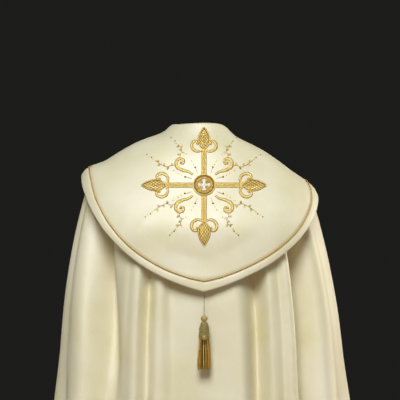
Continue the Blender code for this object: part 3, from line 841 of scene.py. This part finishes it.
def makeArm(name, node, degrees, seed):
    basket = Basket()
    start, end = cross["petalStart"], cross["petalEnd"]

    def put(line):
        return turned(line, degrees)

    def straight(across, first, last, count=30):
        return put(np.stack([np.linspace(first, last, count), np.full(count, across)], 1))

    # the bar: three ribs of satin stitch, with a fine cord in each channel and down each side
    for across in (-cross["rib"], 0.0, cross["rib"]):
        satinFill(basket, straight(across, cross["barStart"], cross["barEnd"], 12),
                  lambda t: np.full_like(t, cross["ribThickness"] / 2), slant=0.012, padding=0.0016,
                  tones=(0.45, 1.0), seed=seed)
    for across, slot in ((-1.5, 1), (-0.5, 2), (0.5, 2), (1.5, 1)):
        line = straight(across * cross["rib"], cross["barStart"], cross["barEnd"])
        couchCord(basket, line, slot, cross["fineCord"])
    # the long petal: a flat ground under a trellis of crossed cords, and a raised rim
    spine = put(curveThrough([(start, 0), ((start + end) / 2, 0), (end, 0)], 30))
    for side in (1, -1):
        satinFill(basket, spine, petalWidth, slant=0.07, side=side, padding=0.0005,
                  tones=(0.55, 1.0), seed=seed + side)
    slope = cross["trellisSlope"]
    for first in np.arange(start - 0.030, end + 0.030, cross["trellis"]):
        for sign in (1, -1):
            across = np.linspace(-0.014, 0.014, 90)
            along = first + sign * across / slope
            share = (along - start) / (end - start)
            inside = (share > 0.02) & (share < 0.98) & (np.abs(across) < petalWidth(share) - 0.0012)
            if inside.sum() > 8:
                line = put(np.stack([along[inside], across[inside]], 1))
                couchCord(basket, line, 1, cross["trellisCord"], lift=0.0009)
    for line in sideLines(spine, lambda t: petalWidth(t) - 0.0020):
        couchCord(basket, line, 1, 0.0010, lift=0.0009)
    for line in sideLines(spine, lambda t: petalWidth(t) - 0.0004):
        couchCord(basket, line, 0, cross["rimCord"], lift=0.0004, tones=(1.0, 0.85))
    for line in sideLines(spine, lambda t: petalWidth(t) + 0.0010):
        couchCord(basket, line, 1, 0.0009)
    # a hook curls out on each side of the petal and ends in a knot
    for sign in (1, -1):
        hook = put(curveThrough([(a, sign * b) for a, b in cross["hook"]], 40))

        def fat(t):
            return cross["hookHalfWidth"] * (0.50 + 0.65 * np.sin(np.pi * np.clip(t, 0, 1)))

        satinFill(basket, hook, fat, slant=0.020, padding=0.0014, tones=(0.5, 1.0), seed=seed + 3)
        for line in sideLines(hook, fat):
            couchCord(basket, line, 1, 0.0009)
        knot(basket, hook[-1], 0.0030, 2, 0.7, lift=0.0008)
    # the collar that ties petal and hooks to the bar
    tie = put(np.array([(0.0785, -0.0078), (0.0785, 0.0), (0.0785, 0.0078)]))
    satinFill(basket, curveThrough(tie, 12), lambda t: np.full_like(t, 0.0020), slant=0.0,
              padding=0.0022, tones=(0.6, 1.0), seed=seed + 4)
    finishPiece(basket.pour(name, [gold, outline, goldDark]), "gold_thread", node)


for name, node, degrees, seed in (("crossArmLeft", "cross_arm_left", 0, 10),
                                  ("crossArmTop", "cross_arm_top", 90, 20),
                                  ("crossArmRight", "cross_arm_right", 180, 30),
                                  ("crossArmFoot", "cross_arm_foot", 270, 40)):
    makeArm(name, node, degrees, seed)


def makeRosette():
    basket = Basket()
    radius = embroidery["discRadius"]
    # a padded ground of stitches round the disc, a rim of cord, and a small plain white cross
    turn = np.linspace(0, 2 * np.pi, 140, endpoint=False)
    spoke = np.linspace(0.0006, radius, 8)[None, :, None]
    flat = np.stack([np.cos(turn), np.sin(turn)], -1)[:, None] * spoke
    points, ups = onHood(flat, 0.0012)
    tone = np.random.default_rng(3).uniform(0.05, 0.55, len(turn))
    layThreads(basket, points, ups, embroidery["thread"], 0.0008, 2, tone, taper=0.8)
    turn = np.linspace(0, 2 * np.pi, 120)
    for size, thickness, slot, tones in ((radius, 0.0026, 0, (1.0, 0.7)),
                                         (radius - 0.0024, 0.0011, 1, (0.4, 0.2)),
                                         (radius - 0.0062, 0.0012, 0, (0.8, 0.6))):
        ring = np.stack([np.cos(turn), np.sin(turn)], 1) * size
        couchCord(basket, ring, slot, thickness, lift=0.0012, tones=tones)
    for degrees in (0, 90, 180, 270):
        line = turned(curveThrough([(0.0010, 0), (0.0060, 0), (0.0122, 0)], 10), degrees)
        satinFill(basket, line, lambda t: 0.0034 + 0.0016 * t**2, 3, slant=0.0, padding=0.0030,
                  tones=(0.7, 1.0), seed=5)
    finishPiece(basket.pour("crossRosette", [gold, outline, goldDark, white]), "gold_thread", "cross_disc")


makeRosette()

# One quarter's sprig: a stem that curls, small leaves on both sides of it, and knots that scatter
# outward. The other three quarters mirror it.
sprig = {
    "scroll": [(0.0230, 0.0230), (0.0330, 0.0300), (0.0450, 0.0330), (0.0560, 0.0400), (0.0590, 0.0510),
               (0.0520, 0.0590), (0.0430, 0.0560), (0.0430, 0.0490), (0.0480, 0.0475)],
    "scrollHalfWidth": 0.0027,
    # two stems leave the scroll, and each carries leaves: how far along, and on which side
    "stems": [
        ([(0.0560, 0.0410), (0.0680, 0.0440), (0.0790, 0.0410), (0.0900, 0.0460), (0.1040, 0.0560)],
         [(0.22, 1), (0.40, -1), (0.56, 1), (0.72, -1), (0.86, 1)]),
        ([(0.0500, 0.0590), (0.0505, 0.0680), (0.0470, 0.0760), (0.0490, 0.0840), (0.0560, 0.0920)],
         [(0.22, -1), (0.40, 1), (0.56, -1), (0.72, 1), (0.86, -1)]),
    ],
    "leafLength": 0.0070, "leafHalfWidth": 0.0023,
    # knots beyond the end of each stem: ahead and beside
    "trail": [(0.0045, 0), (0.0100, 0.0012), (0.0160, -0.0006), (0.0225, 0.0004)],
    "sprays": [((0.0260, 0.0140), (0.0400, 0.0185)), ((0.0140, 0.0260), (0.0185, 0.0400))],
    "knots": [(0.0470, 0.0220), (0.0540, 0.0260), (0.0220, 0.0470), (0.0260, 0.0540),
              (0.0640, 0.0330), (0.0380, 0.0700)],
}


def scrollWidth(t):
    return sprig["scrollHalfWidth"] * (0.55 + 0.6 * np.sin(np.pi * np.clip(t, 0, 1)))


def leafWidth(t):
    return sprig["leafHalfWidth"] * np.sin(np.pi * np.clip(t, 0, 1) ** 0.8) + 0.0002


def makeSprigs():
    basket = Basket()
    rng = np.random.default_rng(9)
    for quarter in np.array([(1, 1), (-1, 1), (-1, -1), (1, -1)], float):
        scroll = curveThrough(sprig["scroll"], 60) * quarter
        satinFill(basket, scroll, scrollWidth, slant=0.015, padding=0.0014, tones=(0.5, 1.0), seed=12)
        for line in sideLines(scroll, scrollWidth):
            couchCord(basket, line, 1, 0.0008)
        knot(basket, (0.0486, 0.0500) * quarter, 0.0030, 2, 0.8, lift=0.0012)
        for stem, leaves in sprig["stems"]:
            line = curveThrough(stem, 40)
            couchCord(basket, line * quarter, 1, 0.0009, lift=0.0003)
            ahead, beside = unit(np.gradient(line, axis=0)), leftOf(line)
            for share, side in leaves:
                at = int(share * (len(line) - 1))
                root, out = line[at], beside[at] * side
                tip = root + (ahead[at] * 0.55 + out * 0.85) * sprig["leafLength"]
                middle = (root + tip) / 2 + out * 0.0006
                leaf = curveThrough([root, middle, tip], 10) * quarter
                satinFill(basket, leaf, leafWidth, 0 if side > 0 else 2, slant=0.12, padding=0.0006,
                          seed=int(share * 100))
            for i, (onward, aside) in enumerate(sprig["trail"]):
                place = line[-1] + ahead[-1] * onward + beside[-1] * aside
                tone = rng.uniform(0.3, 0.9)
                knot(basket, place * quarter, 0.0017 - 0.0001 * i, i % 2, tone)
        # short sprays fill the corner between the bars
        for base, tip in sprig["sprays"]:
            bend = ((base[0] + tip[0]) / 2, (base[1] + tip[1]) / 2 + 0.001)
            couchCord(basket, curveThrough([base, bend, tip], 14) * quarter, 2, 0.0009, lift=0.0003)
            knot(basket, tip * quarter, 0.0020, 1, 0.5)
        for place in sprig["knots"]:
            knot(basket, place * quarter, 0.0015, 0, 0.7)
    finishPiece(basket.pour("embroiderySprigs", [gold, outline, goldDark]), "gold_thread")


makeSprigs()
print("embroidery ready")


# The tassel: a wound knob, a netted bell of two tiers, a small ball, and a skirt of soft strands
tassel = {
    "strands": 230, "strandThickness": 0.0011, "skirtLength": 0.0690,
    "locks": 13, "lockPull": 0.72,
    "netCords": 9, "netThickness": 0.0011,
    # the bell's radius down its height, from the top at 0 to the foot at 1
    "bell": [(0.0050, 0.0), (0.0058, 0.04), (0.0070, 0.12), (0.0083, 0.26), (0.0094, 0.40),
             (0.0101, 0.54), (0.0104, 0.60), (0.0094, 0.63), (0.0098, 0.68), (0.0107, 0.80),
             (0.0113, 0.92), (0.0115, 1.0)],
    "bellBands": [(0.03, 0.0015), (0.60, 0.0017), (0.66, 0.0013), (0.965, 0.0018)],
    "skirtBands": [(0.0012, 0.0016), (0.0032, 0.0013)],
    "skirtTop": 0.0100,
}


def turnedThread(basket, middle, profile, ridges, tone, depth, sides=48):
    # a turned form with thread ridges along it; profile is (radius, height)
    profile = np.array(profile, float)
    turn = 2 * np.pi * np.arange(sides) / sides
    radius = profile[:, :1] * (1 + depth * np.cos(turn * ridges)[None, :])
    points = np.stack([middle[0] + radius * np.cos(turn), middle[1] + radius * np.sin(turn),
                       np.broadcast_to(middle[2] + profile[:, 1:], radius.shape)], -1)
    cut = np.stack(np.broadcast_arrays(turn[None] * profile[:, :1], profile[:, 1:]), -1)
    basket.add(points.reshape(-1, 3), tubeFaces(1, len(profile), sides), 0, tone, cut.reshape(-1, 2))


def woundBall(radius, halfHeight, winds):
    # the profile of a ball wound with thread, which ridges it across
    turn = np.pi * np.arange(winds + 1) / winds
    ridge = 1 + 0.05 * np.cos(np.pi * np.arange(winds + 1))
    return np.stack([np.maximum(radius * np.sin(turn) * ridge, 0.0002), halfHeight * np.cos(turn)], 1)


def hoop(basket, middle, radius, drop, thickness, tones):
    # a cord tied round the tassel
    turn = np.linspace(0, 2 * np.pi, 90)
    path = np.stack([middle.x + radius * np.cos(turn), middle.y + radius * np.sin(turn),
                     np.full_like(turn, middle.z - drop)], 1)
    twistCord(basket, path, thickness, 0.0040, strands=2, tones=tones)


def bellRadius(share, foot):
    radii, heights = np.array(tassel["bell"]).T
    return np.interp(share, heights, radii) * foot / radii[-1]


def makeTassel():
    low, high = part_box("tassel_knob")
    basket = Basket()
    ball = woundBall((high - low).x / 2, (high - low).z / 2, 28)
    turnedThread(basket, (low + high) / 2, ball, 12, tone=0.55, depth=0.02)
    finishPiece(basket.pour("tasselKnob", [headRayon]), "gold_thread", "tassel_knob")

    low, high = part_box("tassel_bell")
    middle = Vector(((low.x + high.x) / 2, (low.y + high.y) / 2, high.z))
    tall, foot = (high - low).z, (high - low).x / 2
    basket = Basket()
    share = np.linspace(0, 1, 61)
    ridge = np.where(np.arange(61) % 2, 0.93, 0.90)
    profile = np.stack([bellRadius(share, foot) * ridge, -tall * share], 1)
    turnedThread(basket, middle, [(0.0003, 0.0), *profile, (0.0003, -tall)], 24, tone=0.25, depth=0.01)
    # the net: two families of cords that cross over the bell, held by a band at each tier
    share = np.linspace(0.02, 0.98, 60)
    for direction in (1, -1):
        for k in range(tassel["netCords"]):
            turn = 2 * np.pi * (k / tassel["netCords"] + direction * share * 0.42)
            wave = 0.0002 * np.cos(2 * np.pi * share * 7 + direction * 1.6)
            ring = bellRadius(share, foot) * 0.95 + tassel["netThickness"] * 0.35 + wave
            path = np.stack([middle.x + ring * np.cos(turn), middle.y + ring * np.sin(turn),
                             middle.z - tall * share], 1)
            twistCord(basket, path, tassel["netThickness"], 0.0030, strands=2, tones=(0.8, 0.4),
                      sides=4, stepsPerTurn=6)
    for at, thickness in tassel["bellBands"]:
        hoop(basket, middle, bellRadius(at, foot) * 0.96, tall * at, thickness, (0.85, 0.4))
    finishPiece(basket.pour("tasselBell", [headRayon]), "gold_thread", "tassel_bell")

    low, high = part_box("tassel_button")
    basket = Basket()
    ball = woundBall((high - low).z / 2, (high - low).z / 2, 24)
    turnedThread(basket, (low + high) / 2, ball, 10, tone=0.35, depth=0.03)
    finishPiece(basket.pour("tasselBall", [headRayon]), "gold_thread", "tassel_button")

    low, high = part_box("tassel_skirt")
    middle = Vector(((low.x + high.x) / 2, (low.y + high.y) / 2, high.z))
    wide = (high - low).x / 2 - 0.0012
    rng = np.random.default_rng(21)
    count = tassel["strands"]
    inner = np.sqrt(rng.uniform(0.05, 1.0, count))
    turn = rng.uniform(0, 2 * np.pi, count)
    share = np.linspace(0, 1, 9)
    flare = tassel["skirtTop"] + (wide - tassel["skirtTop"]) * smooth(share * 1.15)
    sway = rng.normal(0, 0.00055, (count, 2))
    wave = rng.uniform(0, 6.28, count)
    # the strands hang in soft locks that lean together
    perLock = 2 * np.pi / tassel["locks"]
    lock = np.round(turn / perLock) * perLock
    turnAt = turn[:, None] + (lock - turn)[:, None] * tassel["lockPull"] * share[None, :] ** 0.8
    ring = inner[:, None] * flare[None, :] + 0.0003 * np.sin(share[None, :] * 7 + wave[:, None])
    ragged = 1 - 0.20 * rng.uniform(0, 1, count) ** 2 - 0.03 * np.cos(lock * 3.1) ** 2
    drop = ragged[:, None] * tassel["skirtLength"] * share[None, :]
    paths = np.stack([middle.x + ring * np.cos(turnAt) + sway[:, :1] * share,
                      middle.y + ring * np.sin(turnAt) + sway[:, 1:] * share,
                      middle.z - 0.0004 - drop], -1)
    ups = np.stack([np.cos(turnAt), np.sin(turnAt), np.zeros_like(turnAt)], -1)
    # painted shade: strands are painted darker the nearer they hang to the core, so the inside of the skirt
    # reads as shadow; the rest of the tone differs at random by strand and by lock
    tone = (0.05 + 0.85 * rng.uniform(0, 1, count) * inner) * (0.72 + 0.28 * np.sin(lock * 5.0))
    basket = Basket()
    layThreads(basket, paths, ups, tassel["strandThickness"] * 1.35, tassel["strandThickness"], 0,
               tone, taper=0.8)
    # painted shade: the core inside the skirt is painted at the darkest tone, so the gaps between the locks
    # show as shadow
    core = [(0.0002, 0.0), (0.0104, 0.0), (0.0108, -0.0030), (0.0090, -0.0034), (0.0080, -0.0500),
            (0.0002, -0.0505)]
    turnedThread(basket, middle, core, 20, tone=0.0, depth=0.03)
    for at, thickness in tassel["skirtBands"]:
        hoop(basket, middle, 0.0112, at, thickness, (0.8, 0.5))
    finishPiece(basket.pour("tasselSkirt", [rayon]), "gold_thread", "tassel_skirt")


makeTassel()
print("tassel ready")

# The plain tab across the chest, of two layers turned in and stitched round
tab = {
    "width": 0.118, "height": 0.050, "reach": 0.162, "lift": 0.0014, "wall": 0.0030,
    "stitch": 0.0042, "stitchInset": 0.0045, "stitchDip": 0.0005,
}


def tabPoint(x, up, lift):
    reach = tab["reach"] - up
    side = readTable(sections, reach, 1)
    angle = 180 - np.degrees(np.arcsin(np.abs(x) / side))
    base = cloakPoint(angle, reach) + cloakOutward(angle, reach) * np.asarray(lift)[..., None]
    return np.stack([x * np.ones_like(base[..., 0]), base[..., 1], base[..., 2]], -1)


def makeTab():
    x = np.linspace(-0.5, 0.5, 61) * tab["width"]
    up = np.linspace(0.5, -0.5, 31) * tab["height"]
    xGrid, upGrid = np.meshgrid(x, up)
    inset = np.minimum(tab["width"] / 2 - np.abs(xGrid), tab["height"] / 2 - np.abs(upGrid))
    puff = tab["lift"] + tab["wall"] * (0.45 + 0.55 * smooth(inset / 0.0016))
    puff = puff - tab["stitchDip"] * np.exp(-((inset - tab["stitchInset"]) / 0.0010) ** 2)
    grid = tabPoint(xGrid, upGrid, puff)
    obj = shellOf("frontTab", grid, np.stack([xGrid, upGrid], -1), 0.0022, cream, flip=True)
    finishPiece(obj, "cream_satin", "front_tab")
    # a row of running stitches round the tab
    w, h = tab["width"] / 2 - tab["stitchInset"], tab["height"] / 2 - tab["stitchInset"]
    corners = [(-w, -h), (w, -h), (w, h), (-w, h), (-w, -h)]
    stitches = []
    for (x0, y0), (x1, y1) in zip(corners, corners[1:]):
        count = int(math.hypot(x1 - x0, y1 - y0) / tab["stitch"])
        for i in range(count):
            share = np.linspace((i + 0.18) / count, (i + 0.82) / count, 4)
            stitches.append(np.stack([x0 + (x1 - x0) * share, y0 + (y1 - y0) * share], 1))
    flat = np.array(stitches)
    sink = np.array([-0.0006, 0.0001, 0.0001, -0.0006])[None, :]
    paths = tabPoint(flat[..., 0], flat[..., 1], tab["lift"] + tab["wall"] + sink * np.ones((len(flat), 1)))
    ups = np.broadcast_to(np.array([0.0, -1.0, 0.0]), paths.shape)
    basket = Basket()
    layThreads(basket, paths, ups, 0.0008, 0.0007, 0, 0.6)
    finishPiece(basket.pour("tabStitching", [stitchCream]), "cream_satin")


makeTab()
print("tab ready")

# Running stitches along the hood's seam, in the band beside the piping
stitching = {"length": 0.0026, "gap": 0.0012, "thickness": 0.0006, "fromSeam": 0.0040}


def makeStitching():
    angle = hoodAngle(np.linspace(-1, 1, 1600))
    edge, band = hoodEdge(angle)
    reach = edge - band + stitching["fromSeam"]
    path = hoodPoint(angle, reach, hood["solidWall"] + 0.0001)
    outward = cloakOutward(angle, reach)
    length, gap, thickness = stitching["length"], stitching["gap"], stitching["thickness"]
    distance = lengthsAlong(path)
    starts = np.arange(gap, distance[-1] - length - gap, length + gap)
    at = starts[:, None] + np.linspace(0, length, 4)[None, :]
    points = np.stack([np.interp(at, distance, path[:, i]) for i in range(3)], -1)
    ups = unit(np.stack([np.interp(at, distance, outward[:, i]) for i in range(3)], -1))
    sink = np.array([-0.5, 0.35, 0.35, -0.5]) * thickness
    basket = Basket()
    layThreads(basket, points + ups * sink[None, :, None], ups, thickness * 1.3, thickness)
    finishPiece(basket.pour("hoodStitching", [stitchCream]), "cream_satin")


makeStitching()
print("stitching ready")

# The room: a pale floor, a plain dark surround and soft lights. Each light has its place, what it
# aims at, its size, its colour and its power in watts.
room = {
    "floorRadius": 2.6, "floorDrop": 0.03, "floor": "#D9D7D2", "air": "#8E8D8A", "airStrength": 0.045,
    "lights": {
        "keyLight": ((0.25, 2.7, 1.95), (0, 0, -0.35), 1.6, "#F1F8FF", 134),
        "sideLeft": ((2.0, 2.2, 1.60), (0, 0, -0.35), 1.4, "#FFE4A6", 5),
        "sideRight": ((-2.0, 2.0, 1.80), (0, 0, -0.35), 1.4, "#FFE4A6", 4),
        "lowLight": ((0, 3.0, -1.4), (0, 0, -0.35), 2.0, "#FFB44C", 10),
        "rimLight": ((-2.7, -0.9, 0.3), (0, 0, -0.5), 1.4, "#FFF6E6", 50),
        "frontLight": ((-0.8, -3.1, -0.5), (0, 0, -0.6), 2.0, "#FFFAF2", 52),
        "frontFill": ((2.7, -1.2, -0.1), (0, 0, -0.6), 1.6, "#FFF6E6", 8),
    },
}


def makeRoom():
    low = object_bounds()[0]
    bpy.ops.mesh.primitive_circle_add(vertices=96, radius=room["floorRadius"], fill_type="NGON",
                                      location=(0, 0, low.z - room["floorDrop"]))
    floor = bpy.context.object
    floor.name = "floor"
    paint = newMaterial("paleMattPaint", {"Base Color": linear(room["floor"]), "Roughness": 0.85})[0]
    floor.data.materials.append(paint)
    world = bpy.data.worlds.new("softRoom")
    bpy.context.scene.world = world
    world.use_nodes = True
    air = world.node_tree.nodes["Background"]
    air.inputs["Color"].default_value = linear(room["air"])
    air.inputs["Strength"].default_value = room["airStrength"]
    for name, (place, aim, size, colour, power) in room["lights"].items():
        data = bpy.data.lights.new(name, "AREA")
        data.shape, data.size, data.energy = "DISK", size, power
        data.color = linear(colour)[:3]
        obj = bpy.data.objects.new(name, data)
        obj.location = place
        obj.rotation_euler = (Vector(aim) - Vector(place)).to_track_quat("-Z", "Y").to_euler()
        bpy.context.scene.collection.objects.link(obj)


makeRoom()
print("room ready")
